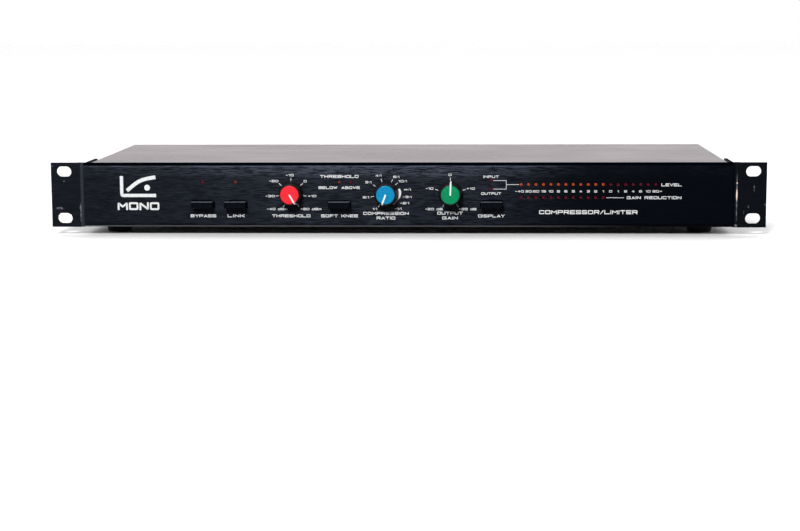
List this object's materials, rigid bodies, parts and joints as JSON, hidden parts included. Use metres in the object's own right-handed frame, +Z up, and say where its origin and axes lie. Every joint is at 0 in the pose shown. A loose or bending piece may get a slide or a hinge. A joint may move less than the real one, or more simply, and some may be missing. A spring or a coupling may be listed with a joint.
{
  "type": "rack compressor",
  "caption": "Slim rack-mount audio compressor: black brushed panel with slotted ears, coloured rotary knobs, push buttons and lamp meters on a shallow steel case.",
  "frame": {"origin": "centre of the rack mounting plane, the plane that the backs of both ears share, midway between the four slots", "axes": "+X to the right seen from the front, +Y towards the back, +Z up"},
  "size_m": [0.4826, 0.2055, 0.0492],
  "materials": {
    "brushed_black": "black anodised, brushed along the panel",
    "ear_black": "black paint over steel, rubbed at the edges",
    "case_paint": "semi-gloss black paint",
    "black_screw": "black oxide",
    "bright_screw": "zinc plated",
    "foot_rubber": "matt rubber",
    "knob_black": "ribbed black nylon",
    "cap_red": "satin moulded plastic",
    "cap_blue": "satin moulded plastic",
    "cap_green": "satin moulded plastic",
    "shaft_metal": "turned",
    "pot_metal": "pressed",
    "button_black": "smooth moulded plastic",
    "plunger_white": "acetal",
    "switch_grey": "moulded",
    "spring_steel": "drawn wire",
    "led_amber": "tinted epoxy, unlit",
    "led_red": "tinted epoxy, unlit",
    "led_green": "tinted epoxy, unlit",
    "board_green": "solder resist over glass epoxy",
    "ribbon_grey": "ribbon cable",
    "core_steel": "varnished laminations",
    "coil_tape": "yellow winding tape",
    "capacitor_blue": "sleeved aluminium can",
    "chip_black": "moulded epoxy",
    "regulator_black": "black anodised heatsink",
    "connector_black": "moulded",
    "nickel": "nickel plated",
    "trimmer_blue": "moulded",
    "trimmer_white": "moulded"
  },
  "bodies": {
    "case": {"front_fascia": "brushed_black", "fascia_nuts": "bright_screw", "rack_ear_left": "ear_black", "rack_ear_right": "ear_black", "ear_screws": "black_screw", "chassis_tray": "case_paint", "top_cover": "case_paint", "cover_screws": "black_screw", "rear_panel": "case_paint", "rear_panel_screws": "black_screw", "rubber_feet": "foot_rubber", "foot_screws": "bright_screw", "pot_housings": "pot_metal", "pot_nuts": "nickel", "switch_housings": "switch_grey", "switch_springs": "spring_steel", "level_leds_amber": "led_amber", "level_leds_red": "led_red", "reduction_leds": "led_red", "status_leds_red": "led_red", "status_leds_amber": "led_amber", "status_led_green": "led_green", "display_board": "board_green", "ribbon_cable": "ribbon_grey", "main_board": "board_green", "board_standoffs": "bright_screw", "board_screws": "bright_screw", "transformer_core": "core_steel", "transformer_coil": "coil_tape", "transformer_strap": "bright_screw", "transformer_screws": "bright_screw", "filter_capacitors": "capacitor_blue", "integrated_circuits": "chip_black", "voltage_regulators": "regulator_black", "power_inlet": "connector_black", "inlet_pins": "nickel", "fuse_holder": "connector_black", "terminal_block": "connector_black", "terminal_screws": "nickel", "jack_sockets": "connector_black", "jack_nuts": "nickel", "trimmer_housing": "trimmer_blue"},
    "threshold_control": {"threshold_knob": "knob_black", "threshold_cap": "cap_red", "threshold_shaft": "shaft_metal"},
    "ratio_control": {"ratio_knob": "knob_black", "ratio_cap": "cap_blue", "ratio_shaft": "shaft_metal"},
    "gain_control": {"gain_knob": "knob_black", "gain_cap": "cap_green", "gain_shaft": "shaft_metal"},
    "bypass_switch": {"bypass_button": "button_black", "bypass_plunger": "plunger_white"},
    "link_switch": {"link_button": "button_black", "link_plunger": "plunger_white"},
    "soft_knee_switch": {"soft_knee_button": "button_black", "soft_knee_plunger": "plunger_white"},
    "display_switch": {"display_button": "button_black", "display_plunger": "plunger_white"},
    "meter_trim": {"trim_screw": "trimmer_white"}
  },
  "joints": [
    {"name": "threshold_turn", "type": "hinge", "parent": "case", "child": "threshold_control", "pos_m": [-0.078, 0, 0.0011], "axis": [0, 1, 0], "range_deg": [-300, 0]},
    {"name": "ratio_turn", "type": "hinge", "parent": "case", "child": "ratio_control", "pos_m": [-0.0136, 0, 0.0011], "axis": [0, 1, 0], "range_deg": [0, 300]},
    {"name": "gain_turn", "type": "hinge", "parent": "case", "child": "gain_control", "pos_m": [0.0298, 0, 0.0011], "axis": [0, 1, 0], "range_deg": [-150, 150]},
    {"name": "bypass_press", "type": "slide", "parent": "case", "child": "bypass_switch", "axis": [0, 1, 0], "range_m": [0, 0.003], "stiffness_N_per_m": 300, "deforming": ["switch_springs"]},
    {"name": "link_press", "type": "slide", "parent": "case", "child": "link_switch", "axis": [0, 1, 0], "range_m": [0, 0.003], "stiffness_N_per_m": 300, "deforming": ["switch_springs"]},
    {"name": "soft_knee_press", "type": "slide", "parent": "case", "child": "soft_knee_switch", "axis": [0, 1, 0], "range_m": [0, 0.003], "stiffness_N_per_m": 300, "deforming": ["switch_springs"]},
    {"name": "display_press", "type": "slide", "parent": "case", "child": "display_switch", "axis": [0, 1, 0], "range_m": [0, 0.003], "stiffness_N_per_m": 300, "deforming": ["switch_springs"]},
    {"name": "meter_trim_turn", "type": "hinge", "parent": "case", "child": "meter_trim", "pos_m": [0.052, 0.17, -0.0062], "axis": [0, 1, 0], "range_deg": [-135, 135]}
  ]
}
